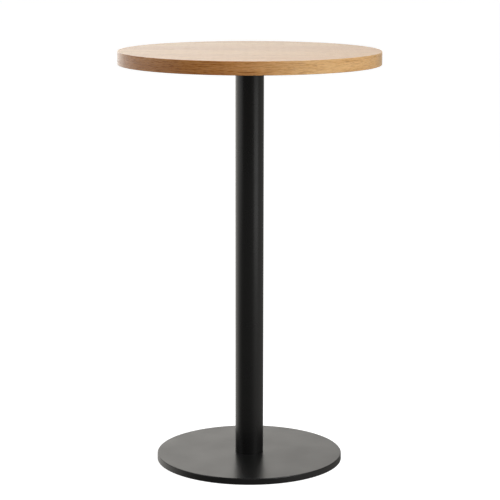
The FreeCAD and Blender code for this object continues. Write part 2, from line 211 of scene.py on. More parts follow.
def threadedBar(name, sizes, low, high):
    # one tooth of the thread is drawn and wound up the bar, which is then turned down to its ends
    root, crest, pitch, bevel = (sizes[key] for key in ("rootRadius", "crestRadius", "pitch", "bevel"))
    turns = math.ceil((high - low) / pitch) + tooth["turnsSpare"]
    start = low - tooth["turnsBefore"] * pitch
    piece = drawSection(name, [
        (root, start), (crest, start + tooth["crestFrom"] * pitch),
        (crest, start + tooth["crestTo"] * pitch), (root, start + pitch)])
    # the side that closed the outline, one pitch long, goes again
    longest = tooth["closingSide"] * pitch
    editMesh(piece, "EDGE")
    pick(piece, "edges", lambda edge: abs(edge.verts[0].co.z - edge.verts[1].co.z) > longest)
    bpy.ops.mesh.delete(type="EDGE")
    bpy.ops.object.mode_set(mode="OBJECT")
    applyModifier(piece, "SCREW", screw_offset=pitch, iterations=turns, steps=sizes["steps"],
                  render_steps=sizes["steps"], use_merge_vertices=True, merge_threshold=weldGap)
    past = tooth["roughCut"] * pitch
    for height, side in ((low - past, -1), (high + past, 1)):
        editMesh(piece, "VERT")
        bpy.ops.mesh.select_all(action="SELECT")
        bpy.ops.mesh.bisect(plane_co=(0, 0, height), plane_no=(0, 0, side), use_fill=True,
                            clear_outer=True)
    bpy.ops.object.mode_set(mode="OBJECT")
    cleanMesh(piece)
    room = crest + samePlace
    combine(piece, "INTERSECT", lathe("threadEnds", [
        (0, low), (room - bevel, low), (room, low + bevel), (room, high - bevel), (room - bevel, high),
        (0, high)], steps=sizes["steps"]))
    return piece


def finishPiece(piece, material, body, slotName, *nodes, smoothAngle=35):
    makeActive(piece)
    bpy.ops.object.transform_apply(location=True, rotation=True, scale=True)
    bpy.ops.object.shade_smooth_by_angle(angle=math.radians(smoothAngle))
    # large flats keep their true direction beside small rounded edges
    applyModifier(piece, "WEIGHTED_NORMAL", weight=100, keep_sharp=True)
    piece.data.materials.clear()
    piece.data.materials.append(material)
    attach(piece, body)
    if nodes:
        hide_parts(*nodes)


def nodeRadius(node):
    # outer radius of a round node on the axis, from its box
    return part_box(node)[1].x


# material helpers

def linearColour(code):
    # an sRGB hex code as the linear value that shaders use
    channels = [int(code[i:i + 2], 16) / 255 for i in (1, 3, 5)]
    linear = [c / 12.92 if c <= 0.04045 else ((c + 0.055) / 1.055) ** 2.4 for c in channels]
    return (*linear, 1.0)


def addNode(tree, kind, inputs=None, stops=None, **settings):
    # a node with its settings; an input is linked if it is given a socket, and set otherwise
    node = tree.nodes.new(kind)
    for name, value in settings.items():
        setattr(node, name, value)
    for name, value in (inputs or {}).items():
        if isinstance(value, bpy.types.NodeSocket):
            tree.links.new(value, node.inputs[name])
        else:
            node.inputs[name].default_value = value
    if stops:
        ramp = node.color_ramp
        while len(ramp.elements) < len(stops):
            ramp.elements.new(0.5)
        for element, (position, code) in zip(ramp.elements, stops):
            element.position = position
            element.color = linearColour(code)
    return node


def newMaterial(name):
    material = bpy.data.materials.new(name)
    material.use_nodes = True
    material.node_tree.nodes.clear()
    return material


def closeMaterial(tree, shaderInputs):
    shader = addNode(tree, "ShaderNodeBsdfPrincipled", shaderInputs)
    addNode(tree, "ShaderNodeOutputMaterial", {"Surface": shader.outputs["BSDF"]})


# camera

camera = {
    "place": (0.2 * mm, -4848.1 * mm, 1491.6 * mm),
    "pitchDown": 10.6385,
    "roll": -0.0736,
    "lens": 131.6,
    "sensor": 36,
    "reach": 200,
}


def addCamera(values):
    startClean()
    tilt = (math.radians(90 - values["pitchDown"]), math.radians(values["roll"]), 0)
    bpy.ops.object.camera_add(location=values["place"], rotation=tilt)
    viewer = bpy.context.object
    viewer.name = "camera"
    viewer.data.lens = values["lens"]
    viewer.data.sensor_width = values["sensor"]
    viewer.data.clip_end = values["reach"]
    bpy.context.scene.camera = viewer


addCamera(camera)

# studio: pale floor, soft light that is dim in front of the table and bright behind it

studio = {
    "floorSize": 90,
    "floorColour": "#aaaaaa",
    "floorLift": 0.97,
    "roomGlow": 0.16,            # the dim room all round
    "horizonLow": -0.07,         # heights between which the light from below gives way to the
    "horizonHigh": 0.3,          # light from above
    "ceilingStart": 0.3,         # the light fades towards the ceiling
    "ceilingEnd": 0.6,
    "floorStart": -0.05,         # and the light from below fades towards the table's foot
    "floorEnd": -0.35,
    "floorShare": 0.6,
    "roomColour": "#fffcf6",     # a slightly warm white
}
# each glow: degrees from the viewer's side to the right, strength, how narrow it is, and the
# half of the room that it fills
glows = {
    "backdrop": (191, 3.03, 10, "above"),
    "whiteFloorLeft": (239, 1.55, 6, "below"),
    "whiteFloorBehind": (193, 1.3, 10, "below"),
    "paleSideRight": (85, 0.3, 2, "both"),
}
# each softbox: its place, width, height, power and the height that it points at
softboxes = {
    "keySoftbox": ((1.9, -1.65, 3.2), 1.6, 1.6, 105, 0.5),
    "fillSoftbox": ((-2.5, -0.8, 3.0), 1.6, 1.6, 27, 0.5),
    "frontSoftbox": ((0.0, -3.2, 3.4), 1.6, 1.6, 11, 0.5),
    "rightPanel": ((2.43, -1.76, 0.38), 1.9, 0.76, 4.9, 0.5),
    "leftPanel": ((-2.9, -0.6, 1.3), 2.2, 2.0, 7.5, 1.3),
}


def addSoftbox(name, place, width, height, power, aimHeight):
    startClean()
    bpy.ops.object.light_add(type="AREA", location=place)
    lamp = bpy.context.object
    lamp.name = name
    lamp.data.shape = "RECTANGLE"
    lamp.data.size, lamp.data.size_y = width, height
    lamp.data.energy = power
    lamp.rotation_euler = (Vector((0, 0, aimHeight)) - Vector(place)).to_track_quat("-Z", "Y").to_euler()
    lamp.visible_camera = False


def addStudio(values):
    startClean()
    bpy.ops.mesh.primitive_plane_add(size=values["floorSize"], location=(0, 0, 0))
    floor = bpy.context.object
    floor.name = "studioFloor"
    floor.visible_glossy = False
    material = newMaterial("paperSweep")
    tree = material.node_tree
    # the camera sees the paper lifted to near white; seen from below it lets the view through
    path = addNode(tree, "ShaderNodeLightPath")
    lift = addNode(tree, "ShaderNodeMath", {0: path.outputs["Is Camera Ray"], 1: values["floorLift"]},
                   operation="MULTIPLY")
    paper = addNode(tree, "ShaderNodeBsdfDiffuse", {"Color": linearColour(values["floorColour"])})
    glow = addNode(tree, "ShaderNodeEmission", {"Strength": lift.outputs[0]})
    front = addNode(tree, "ShaderNodeAddShader", {0: paper.outputs[0], 1: glow.outputs[0]})
    clear = addNode(tree, "ShaderNodeBsdfTransparent")
    side = addNode(tree, "ShaderNodeNewGeometry")
    sheet = addNode(tree, "ShaderNodeMixShader", {
        0: side.outputs["Backfacing"], 1: front.outputs[0], 2: clear.outputs[0]})
    addNode(tree, "ShaderNodeOutputMaterial", {"Surface": sheet.outputs[0]})
    floor.data.materials.append(material)

    world = bpy.data.worlds.new("studioLight")
    world.use_nodes = True
    bpy.context.scene.world = world
    tree = world.node_tree
    tree.nodes.clear()
    direction = addNode(tree, "ShaderNodeTexCoord").outputs["Generated"]

    height = addNode(tree, "ShaderNodeSeparateXYZ", {0: direction}).outputs["Z"]
    above = addNode(tree, "ShaderNodeMapRange", {
        "Value": height, "From Min": values["horizonLow"], "From Max": values["horizonHigh"]})
    rest = addNode(tree, "ShaderNodeMath", {0: 1.0, 1: above.outputs[0]}, operation="SUBTRACT")
    depth = addNode(tree, "ShaderNodeMapRange", {
        "Value": height, "From Min": values["floorEnd"], "From Max": values["floorStart"],
        "To Min": values["floorShare"], "To Max": 1.0})
    below = addNode(tree, "ShaderNodeMath", {0: rest.outputs[0], 1: depth.outputs[0]},
                    operation="MULTIPLY")
    halves = {"above": above.outputs[0], "below": below.outputs[0], "both": 1.0}
    total = values["roomGlow"]
    for turn, strength, focus, half in glows.values():
        angle = math.radians(turn)
        facing = addNode(tree, "ShaderNodeVectorMath", {
            0: direction, 1: (math.sin(angle), -math.cos(angle), 0)}, operation="DOT_PRODUCT")
        near = addNode(tree, "ShaderNodeMath", {0: facing.outputs["Value"], 1: 0.0}, operation="MAXIMUM")
        patch = addNode(tree, "ShaderNodeMath", {0: near.outputs[0], 1: focus}, operation="POWER")
        lit = addNode(tree, "ShaderNodeMath", {0: patch.outputs[0], 1: strength}, operation="MULTIPLY")
        total = addNode(tree, "ShaderNodeMath", {0: lit.outputs[0], 1: halves[half], 2: total},
                        operation="MULTIPLY_ADD").outputs[0]
    fade = addNode(tree, "ShaderNodeMapRange", {
        "Value": height, "From Min": values["ceilingStart"], "From Max": values["ceilingEnd"],
        "To Min": 1.0, "To Max": 0.0})
    glow = addNode(tree, "ShaderNodeMath", {0: total, 1: fade.outputs[0]}, operation="MULTIPLY")
    path = addNode(tree, "ShaderNodeLightPath").outputs["Is Camera Ray"]
    seen = addNode(tree, "ShaderNodeMix", {"Factor": path, "A": glow.outputs[0], "B": 1.0})
    # the camera itself sees plain white
    tint = addNode(tree, "ShaderNodeMix", {
        "Factor": path, "A": linearColour(values["roomColour"]), "B": linearColour("#ffffff")},
        data_type="RGBA")
    light = addNode(tree, "ShaderNodeBackground", {
        "Color": tint.outputs["Result"], "Strength": seen.outputs["Result"]})
    addNode(tree, "ShaderNodeOutputWorld", {"Surface": light.outputs[0]})
    bpy.context.scene.view_settings.view_transform = "Standard"


addStudio(studio)
for name, settings in softboxes.items():
    addSoftbox(name, *settings)
print("camera and studio ready")

# oak

oak = {
    "poreWidth": 1.1 * mm,       # real pores are 0.25 mm wide, drawn coarser so that they show
    "poreLength": 20 * mm,
    "waver": 5 * mm,             # how far a streak wanders sideways
    "waverLength": 260 * mm,
    "waverWidth": 60 * mm,       # streaks this close together wander alike
    "softness": 0.55,            # how much the finer part of each pattern weighs
    "waverSeed": 3.7,            # each pattern is cut from the noise at a depth of its own
    "ringSeed": 11.3,
    "fleckSeed": 57.7,
    "poreSeed": 41.1,
    "stripeFrom": 0.41,          # broad stripes fade between these levels of their pattern
    "stripeTo": 0.59,
    "crowdSlope": -0.35,         # pores crowd together in the darker, early part of each ring
    "crowdBase": 0.18,
    "poreFrom": 0.56,            # and show between these levels of theirs
    "poreTo": 0.7,
    "poreShare": 0.55,           # how much of its own colour a pore shows
    "poreRoughness": 0.5,
    "relief": 0.05 * mm,
    "reliefStrength": 0.6,
}
# each leaf: the sizes of its streaks, its colours from dark to light and back, and its lacquer
faceLeaf = {
    "fleckWidth": 1.8 * mm,      # short streaks of a few fibres each
    "fleckLength": 26 * mm,
    "fleckShare": 0.6,
    "ringWidth": 5 * mm,         # two or three growth rings to a streak
    "ringLength": 420 * mm,
    "toneWidth": 150 * mm,       # broad stripes, as the leaf was sliced
    "toneLength": 900 * mm,
    "toneSeed": 5.3,
    "stops": [(0.38, "#96682c"), (0.47, "#b08241"), (0.55, "#c29453"), (0.64, "#a37435")],
    "stripeColour": "#f2e2c7",
    "poreColour": "#8a5f34",
    "roughness": 0.3,
    "specular": 0.5,
}
edgeLeaf = {
    "fleckWidth": 0.8 * mm,
    "fleckLength": 20 * mm,
    "fleckShare": 0.6,
    "ringWidth": 1.4 * mm,
    "ringLength": 60 * mm,
    "toneWidth": 30 * mm,
    "toneLength": 300 * mm,
    "toneSeed": 23.9,
    "stops": [(0.38, "#905319"), (0.46, "#ba7c42"), (0.55, "#ce955c"), (0.64, "#ac6c31")],
    "stripeColour": "#f5efe6",
    "poreColour": "#75441d",
    "roughness": 0.2,
    "specular": 0.35,            # the lacquer has sunk into the strip and shines less
    # painted light: the strip is painted paler and yellower towards the right of the middle of the front,
    # where the key light falls, and browner to the left, as painted shade
    "paintedLitStops": [(0.38, "#b88a4f"), (0.46, "#d2a973"), (0.55, "#e1b988"), (0.64, "#ca9d64")],
    "paintedLightStart": -110 * mm,
    "paintedLightEnd": 200 * mm,
    "backStart": 520 * mm,
    "backEnd": 1050 * mm,
    # one short dark mark low on the front, above the column: its place along the rim and its height, and
    # half its size
    "darkMarkPlace": (-5 * mm, 1090.8 * mm, 0),
    "darkMarkHalfSize": (30 * mm, 1.2 * mm, 1),
    "darkMarkShare": 0.9,
    "darkMarkCore": 0.6,             # it is solid up to this share of its half size, and gone at the next
    "darkMarkFringe": 1.1,
}
backingLeaf = {
    **faceLeaf,
    "stops": [(0.4, "#a9845a"), (0.47, "#bb9870"), (0.54, "#c5a37a"), (0.62, "#b39066")],
    "stripeColour": "#e8dcc8",
    "poreColour": "#7d5b38",
    "roughness": 0.6,
}


def oakMaterial(name, leaf, rimRadius=None):
    # sliced oak veneer, sanded and satin lacquered: straight warm streaks broken by short dark
    # pores, under a film that mirrors softly at low angles
    material = newMaterial(name)
    tree = material.node_tree
    place = addNode(tree, "ShaderNodeTexCoord").outputs["Object"]
    axes = addNode(tree, "ShaderNodeSeparateXYZ", {0: place}).outputs
    along, across = axes["X"], axes["Y"]
    if rimRadius:
        # the edge strip's grain follows the rim, and its pattern starts at the joint at the back
        front = addNode(tree, "ShaderNodeMath", {0: axes["Y"], 1: -1.0}, operation="MULTIPLY")
        turn = addNode(tree, "ShaderNodeMath", {0: axes["X"], 1: front.outputs[0]}, operation="ARCTAN2")
        along = addNode(tree, "ShaderNodeMath", {0: turn.outputs[0], 1: rimRadius},
                        operation="MULTIPLY").outputs[0]
        across = axes["Z"]

    def streaks(length, width, seed, detail=2.0, offset=None):
        # noise drawn out along the grain, in a plane of its own
        drawn = addNode(tree, "ShaderNodeMath", {0: along, 1: 1 / length}, operation="MULTIPLY")
        packed = addNode(tree, "ShaderNodeMath", {0: offset or across, 1: 1 / width},
                         operation="MULTIPLY")
        spot = addNode(tree, "ShaderNodeCombineXYZ", {
            "X": drawn.outputs[0], "Y": packed.outputs[0], "Z": seed})
        return addNode(tree, "ShaderNodeTexNoise", {
            "Vector": spot.outputs[0], "Scale": 1.0, "Detail": detail,
            "Roughness": oak["softness"]}).outputs["Fac"]

    sway = streaks(oak["waverLength"], oak["waverWidth"], oak["waverSeed"], detail=1.0)
    shifted = addNode(tree, "ShaderNodeMath", {0: sway, 1: 2 * oak["waver"], 2: across},
                      operation="MULTIPLY_ADD").outputs[0]
    rings = streaks(leaf["ringLength"], leaf["ringWidth"], oak["ringSeed"], detail=3.0, offset=shifted)
    flecks = streaks(leaf["fleckLength"], leaf["fleckWidth"], oak["fleckSeed"], offset=shifted)
    tone = streaks(leaf["toneLength"], leaf["toneWidth"], leaf["toneSeed"])
    pores = streaks(oak["poreLength"], oak["poreWidth"], oak["poreSeed"], offset=shifted)

    fibre = addNode(tree, "ShaderNodeMix", {"Factor": leaf["fleckShare"], "A": rings, "B": flecks})
    fibreColour = addNode(tree, "ShaderNodeValToRGB", {"Fac": fibre.outputs["Result"]},
                          stops=leaf["stops"]).outputs["Color"]
    # painted light: along the front the strip's colour slides from its own browner stops, as painted shade
    # on the left, to paler stops, as painted light on the right
    if "paintedLitStops" in leaf:
        paintedLitColour = addNode(tree, "ShaderNodeValToRGB", {"Fac": fibre.outputs["Result"]},
                            stops=leaf["paintedLitStops"])
        paintedLightDrift = addNode(tree, "ShaderNodeMapRange", {
            "Value": along, "From Min": leaf["paintedLightStart"], "From Max": leaf["paintedLightEnd"]},
            interpolation_type="SMOOTHSTEP")
        # towards the joint at the back both ends come to the same middle colour
        away = addNode(tree, "ShaderNodeMath", {0: along}, operation="ABSOLUTE")
        behind = addNode(tree, "ShaderNodeMapRange", {
            "Value": away.outputs[0], "From Min": leaf["backStart"], "From Max": leaf["backEnd"]})
        paintedLitShare = addNode(tree, "ShaderNodeMix", {
            "Factor": behind.outputs["Result"], "A": paintedLightDrift.outputs["Result"], "B": 0.5})
        fibreColour = addNode(tree, "ShaderNodeMix", {
            "Factor": paintedLitShare.outputs["Result"], "A": fibreColour, "B": paintedLitColour.outputs["Color"]},
            data_type="RGBA").outputs["Result"]
    stripe = addNode(tree, "ShaderNodeValToRGB", {"Fac": tone},
                     stops=[(oak["stripeFrom"], leaf["stripeColour"]), (oak["stripeTo"], "#ffffff")])
    toned = addNode(tree, "ShaderNodeVectorMath", {0: fibreColour, 1: stripe.outputs["Color"]},
                    operation="MULTIPLY")
    crowd = addNode(tree, "ShaderNodeMath", {0: rings, 1: oak["crowdSlope"], 2: oak["crowdBase"]},
                    operation="MULTIPLY_ADD")
    dense = addNode(tree, "ShaderNodeMath", {0: pores, 1: crowd.outputs[0]}, operation="ADD")
    poreMask = addNode(tree, "ShaderNodeMapRange", {
        "Value": dense.outputs[0], "From Min": oak["poreFrom"], "From Max": oak["poreTo"]})
    poreShare = addNode(tree, "ShaderNodeMath", {0: poreMask.outputs["Result"], 1: oak["poreShare"]},
                        operation="MULTIPLY")
    # the short dark mark low on the front, above the column, is mixed in with the pore colour
    if "darkMarkPlace" in leaf:
        spot = addNode(tree, "ShaderNodeCombineXYZ", {"X": along, "Y": across})
        offset = addNode(tree, "ShaderNodeVectorMath", {0: spot.outputs[0], 1: leaf["darkMarkPlace"]},
                         operation="SUBTRACT")
        scaled = addNode(tree, "ShaderNodeVectorMath", {0: offset.outputs[0], 1: leaf["darkMarkHalfSize"]},
                         operation="DIVIDE")
        distance = addNode(tree, "ShaderNodeVectorMath", {0: scaled.outputs[0]}, operation="LENGTH")
        darkMark = addNode(tree, "ShaderNodeMapRange", {
            "Value": distance.outputs["Value"], "From Min": leaf["darkMarkCore"],
            "From Max": leaf["darkMarkFringe"], "To Min": leaf["darkMarkShare"], "To Max": 0.0})
        poreShare = addNode(tree, "ShaderNodeMath", {
            0: poreShare.outputs[0], 1: darkMark.outputs["Result"]}, operation="MAXIMUM")
    colour = addNode(tree, "ShaderNodeMix", {
        "Factor": poreShare.outputs[0], "A": toned.outputs[0], "B": linearColour(leaf["poreColour"])},
        data_type="RGBA")
    gloss = addNode(tree, "ShaderNodeMapRange", {
        "Value": poreMask.outputs["Result"], "To Min": leaf["roughness"],
        "To Max": oak["poreRoughness"]})
    height = addNode(tree, "ShaderNodeMath", {0: poreMask.outputs["Result"], 1: -1.0},
                     operation="MULTIPLY")
    bump = addNode(tree, "ShaderNodeBump", {
        "Height": height.outputs[0], "Distance": oak["relief"], "Strength": oak["reliefStrength"]})
    closeMaterial(tree, {
        "Base Color": colour.outputs["Result"], "Roughness": gloss.outputs["Result"],
        "Specular IOR Level": leaf["specular"], "Normal": bump.outputs["Normal"]})
    return material


oakFace = oakMaterial("oakVeneerSatinLacquered", faceLeaf)
oakEdge = oakMaterial("oakEdgeStripSatinLacquered", edgeLeaf, nodeRadius("edge_band"))
oakBacking = oakMaterial("oakBackingVeneerSealed", backingLeaf)

# metals, iron, plastics

# each powder coat: its colour and gloss, and the depth of the waves in the levelled powder
columnFinish = {"colour": "#101010", "roughness": 0.28, "relief": 0.008 * mm}
baseFinish = {"colour": "#101010", "roughness": 0.33, "relief": 0.012 * mm}
plateFinish = {"colour": "#151515", "roughness": 0.45, "relief": 0.015 * mm}
powder = {"grainSize": 1.2 * mm, "cloudSize": 90 * mm, "glossSpread": 0.02, "reliefStrength": 0.5}
zinc = {"stops": [(0.35, "#c3c7cb"), (0.7, "#dde0e3")], "bloomSize": 6 * mm, "roughness": 0.3,
        "glossier": 0.06, "duller": 0.08}
turning = {"colour": "#b9b9b7", "feed": 2.5 * mm, "roughness": 0.3, "relief": 0.02 * mm,
           "reliefStrength": 0.5, "waveUnits": 20}      # a wave texture counts in twentieths
iron = {"stops": [(0.35, "#262627"), (0.65, "#353434")], "flowSize": 35 * mm, "roughness": 0.62,
        "sandSize": 1.6 * mm, "sandSoftness": 0.6, "relief": 0.25 * mm, "reliefStrength": 0.7}
polymer = {"grainColour": "#3a3a3c", "relief": 0.03 * mm, "reliefStrength": 0.4}
footFinish = {"colour": "#141414", "roughness": 0.5, "grainSize": 0.7 * mm}
soleFinish = {"colour": "#2a2a2b", "roughness": 0.8, "grainSize": 0.5 * mm}
chips = {"flakeSize": 4 * mm, "stops": [(0.1, "#a98a5f"), (0.5, "#c6a878"), (0.9, "#d8c096")],
         "roughness": 0.85, "relief": 0.2 * mm, "reliefStrength": 0.5}
# the levels between which a cloudy pattern goes from end to end
cloudFrom = 0.3
cloudTo = 0.7


def powderCoat(name, finish):
    # steel, blasted and powder coated satin black: an even deep black with a soft blurred sheen
    # and the faint waviness of powder that melted and levelled
    material = newMaterial(name)
    tree = material.node_tree
    place = addNode(tree, "ShaderNodeTexCoord").outputs["Object"]
    grain = addNode(tree, "ShaderNodeTexNoise", {
        "Vector": place, "Scale": 1 / powder["grainSize"], "Detail": 2.0, "Roughness": 0.5})
    cloud = addNode(tree, "ShaderNodeTexNoise", {
        "Vector": place, "Scale": 1 / powder["cloudSize"], "Detail": 2.0})
    gloss = addNode(tree, "ShaderNodeMapRange", {
        "Value": cloud.outputs["Fac"], "From Min": cloudFrom, "From Max": cloudTo,
        "To Min": finish["roughness"] - powder["glossSpread"],
        "To Max": finish["roughness"] + powder["glossSpread"]})
    bump = addNode(tree, "ShaderNodeBump", {
        "Height": grain.outputs["Fac"], "Distance": finish["relief"],
        "Strength": powder["reliefStrength"]})
    closeMaterial(tree, {
        "Base Color": linearColour(finish["colour"]), "Roughness": gloss.outputs["Result"],
        "Normal": bump.outputs["Normal"]})
    return material


def zincPlate(name, finish):
    # steel fastener, cold formed and bright zinc plated: cool silver with a cloudy grey bloom
    material = newMaterial(name)
    tree = material.node_tree
    place = addNode(tree, "ShaderNodeTexCoord").outputs["Object"]
    bloom = addNode(tree, "ShaderNodeTexNoise", {
        "Vector": place, "Scale": 1 / finish["bloomSize"], "Detail": 4.0})
    tint = addNode(tree, "ShaderNodeValToRGB", {"Fac": bloom.outputs["Fac"]}, stops=finish["stops"])
    gloss = addNode(tree, "ShaderNodeMapRange", {
        "Value": bloom.outputs["Fac"], "From Min": cloudFrom, "From Max": cloudTo,
        "To Min": finish["roughness"] - finish["glossier"],
        "To Max": finish["roughness"] + finish["duller"]})
    closeMaterial(tree, {
        "Base Color": tint.outputs["Color"], "Roughness": gloss.outputs["Result"], "Metallic": 1.0})
    return material


def turnedSteel(name, finish):
    # mild steel disc faced on a lathe: bare grey with fine rings around its middle
    material = newMaterial(name)
    tree = material.node_tree
    place = addNode(tree, "ShaderNodeTexCoord").outputs["Object"]
    rings = addNode(tree, "ShaderNodeTexWave", {
        "Vector": place, "Scale": 1 / finish["feed"] / finish["waveUnits"]},
        wave_type="RINGS", rings_direction="Z")
    bump = addNode(tree, "ShaderNodeBump", {
        "Height": rings.outputs["Fac"], "Distance": finish["relief"],
        "Strength": finish["reliefStrength"]})
    closeMaterial(tree, {
        "Base Color": linearColour(finish["colour"]), "Roughness": finish["roughness"],
        "Metallic": 1.0, "Normal": bump.outputs["Normal"]})
    return material


def castIron(name, finish):
    # grey iron, sand cast and dipped in black primer: matt, with the sand's pitted skin
    material = newMaterial(name)
    tree = material.node_tree
    place = addNode(tree, "ShaderNodeTexCoord").outputs["Object"]
    sand = addNode(tree, "ShaderNodeTexNoise", {
        "Vector": place, "Scale": 1 / finish["sandSize"], "Detail": 3.0,
        "Roughness": finish["sandSoftness"]})
    flow = addNode(tree, "ShaderNodeTexNoise", {
        "Vector": place, "Scale": 1 / finish["flowSize"], "Detail": 3.0})
    tint = addNode(tree, "ShaderNodeValToRGB", {"Fac": flow.outputs["Fac"]}, stops=finish["stops"])
    bump = addNode(tree, "ShaderNodeBump", {
        "Height": sand.outputs["Fac"], "Distance": finish["relief"],
        "Strength": finish["reliefStrength"]})
    closeMaterial(tree, {
        "Base Color": tint.outputs["Color"], "Roughness": finish["roughness"],
        "Normal": bump.outputs["Normal"]})
    return material


def mouldedPolymer(name, finish):
    # injection moulded in a spark-eroded tool: even colour and a fine dull grain
    material = newMaterial(name)
    tree = material.node_tree
    place = addNode(tree, "ShaderNodeTexCoord").outputs["Object"]
    grain = addNode(tree, "ShaderNodeTexVoronoi", {"Vector": place, "Scale": 1 / finish["grainSize"]},
                    feature="SMOOTH_F1")
    tint = addNode(tree, "ShaderNodeMix", {
        "Factor": grain.outputs["Distance"], "A": linearColour(finish["colour"]),
        "B": linearColour(polymer["grainColour"])}, data_type="RGBA")
    bump = addNode(tree, "ShaderNodeBump", {
        "Height": grain.outputs["Distance"], "Distance": polymer["relief"],
        "Strength": polymer["reliefStrength"]})
    closeMaterial(tree, {
        "Base Color": tint.outputs["Result"], "Roughness": finish["roughness"],
        "Normal": bump.outputs["Normal"]})
    return material


def chipboard(name, finish):
    # pressed wood chips: flat flakes of mixed straw colours, dull and dry
    material = newMaterial(name)
    tree = material.node_tree
    place = addNode(tree, "ShaderNodeTexCoord").outputs["Object"]
    flakes = addNode(tree, "ShaderNodeTexVoronoi", {"Vector": place, "Scale": 1 / finish["flakeSize"]})
    tint = addNode(tree, "ShaderNodeValToRGB", {"Fac": flakes.outputs["Color"]}, stops=finish["stops"])
    bump = addNode(tree, "ShaderNodeBump", {
        "Height": flakes.outputs["Distance"], "Distance": finish["relief"],
        "Strength": finish["reliefStrength"]})
    closeMaterial(tree, {
        "Base Color": tint.outputs["Color"], "Roughness": finish["roughness"],
        "Normal": bump.outputs["Normal"]})
    return material


columnCoat = powderCoat("powderCoatSatinBlackColumn", columnFinish)
baseCoat = powderCoat("powderCoatSatinBlackBase", baseFinish)
plateCoat = powderCoat("powderCoatSatinBlackPlate", plateFinish)
brightZinc = zincPlate("zincPlatedSteelBright", zinc)
facedSteel = turnedSteel("mildSteelTurned", turning)
primedIron = castIron("greyIronSandCastPrimed", iron)
footPolyamide = mouldedPolymer("polyamideInjectionMoulded", footFinish)
solePolymer = mouldedPolymer("elastomerSoftMoulded", soleFinish)
pressedChips = chipboard("chipboardPressedRaw", chips)
print("materials ready")

# table top: face veneer, edge strip and backing

tabletop = {
    "roundSteps": 384,
    "facingUp": 0.9,             # a face whose normal rises more than this looks up
    "faceEase": 0.12 * mm,       # sanding dips the veneer's rim where it meets the strip
    "faceEaseWidth": 0.5 * mm,
    "arris": 1.0 * mm,
    "arrisSegments": 5,
    "bandWall": 1.5 * mm,
    "bandJoint": 0.2 * mm,
}


def makeFaceVeneer(values):
    low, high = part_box("face_veneer")
    radius = nodeRadius("face_veneer")
    piece = addCylinder("oakFaceVeneer", radius, low.z, high.z, values["roundSteps"])
    editMesh(piece, "FACE")
    pick(piece, "faces", lambda face: face.normal.z > values["facingUp"])
    bpy.ops.mesh.inset(thickness=values["faceEaseWidth"], depth=0)
    bpy.ops.mesh.select_all(action="DESELECT")
    bpy.ops.mesh.select_mode(type="VERT")
    pick(piece, "verts", lambda vert: vert.co.z > high.z - samePlace
         and vert.co.xy.length > radius - values["faceEaseWidth"] / 2)
    bpy.ops.transform.translate(value=(0, 0, -values["faceEase"]))
    bpy.ops.object.mode_set(mode="OBJECT")
    finishPiece(piece, oakFace, "root", "oak_face", "face_veneer")


def makeEdgeBand(values):
    low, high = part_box("edge_band")
    outer = nodeRadius("edge_band")
    inner = outer - values["bandWall"]
    piece = drawSection("oakEdgeStrip",
                        [(inner, low.z), (outer, low.z), (outer, high.z), (inner, high.z)],
                        [(1, values["arris"], values["arrisSegments"]),
                         (2, values["arris"], values["arrisSegments"])])
    # the strip starts and ends at the back, with a hairline between its ends; spin turns clockwise
    # about the axis that it is given, so this one points down
    gap = values["bandJoint"] / outer
    editMesh(piece, "VERT")
    bpy.ops.mesh.select_all(action="SELECT")
    bpy.ops.mesh.spin(steps=1, angle=quarterTurn + gap / 2, center=(0, 0, 0), axis=(0, 0, -1))
    bpy.ops.mesh.select_all(action="INVERT")
    bpy.ops.mesh.delete(type="VERT")
    bpy.ops.mesh.select_all(action="SELECT")
    bpy.ops.mesh.spin(steps=values["roundSteps"] - 1, angle=fullTurn - gap, center=(0, 0, 0),
                      axis=(0, 0, -1))
    bpy.ops.object.mode_set(mode="OBJECT")
    cleanMesh(piece)
    for side in (-1, 1):
        editMesh(piece, "VERT")
        pick(piece, "verts", lambda vert: vert.co.y > inner - values["bandJoint"]
             and 0 < side * vert.co.x < gap * outer)
        bpy.ops.mesh.edge_face_add()
    bpy.ops.object.mode_set(mode="OBJECT")
    cleanMesh(piece)
    finishPiece(piece, oakEdge, "root", "oak_edge", "edge_band", smoothAngle=30)


makeFaceVeneer(tabletop)
makeEdgeBand(tabletop)
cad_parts["backing_veneer"].data.materials[0] = oakBacking
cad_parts["core_board"].data.materials[0] = pressedChips
print("top ready")

# column and base cover

column = {"wall": 2 * mm, "endEase": 0.3 * mm, "roundSteps": 160}
cover = {"wall": 1.5 * mm, "draft": 0.3 * mm, "edge": 2 * mm, "edgeSegments": 6,
         "sheetEase": 0.3 * mm, "roundSteps": 320}
tubeBore = nodeRadius("column_tube") - column["wall"]


def makeColumn(values):
    low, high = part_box("column_tube")
    outer = nodeRadius("column_tube")
    inner = outer - values["wall"]
    ease = values["endEase"]
    piece = lathe("columnTube", [(inner, low.z), (outer, low.z), (outer, high.z), (inner, high.z)],
                  [(1, ease, easeSegments), (2, ease, easeSegments)], steps=values["roundSteps"])
    finishPiece(piece, columnCoat, "root", "black_column", "column_tube")


def makeBaseCover(values):
    low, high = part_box("base_cover")
    outer = nodeRadius("base_cover")
    shoulder = outer - values["draft"]
    wall = values["wall"]
    piece = lathe("baseCover", [
        (outer, low.z), (shoulder, high.z), (tubeBore, high.z), (tubeBore, high.z - wall),
        (shoulder - wall, high.z - wall), (outer - wall, low.z)],
        [(1, values["edge"], values["edgeSegments"]), (4, values["edge"] - wall, easeSegments),
         (0, values["sheetEase"], easeSegments), (5, values["sheetEase"], easeSegments)],
        steps=values["roundSteps"])
    finishPiece(piece, baseCoat, "root", "black_base", "base_cover")


makeColumn(column)
makeBaseCover(cover)
print("column and cover ready")

# mounting plate, its welded nut and its screws

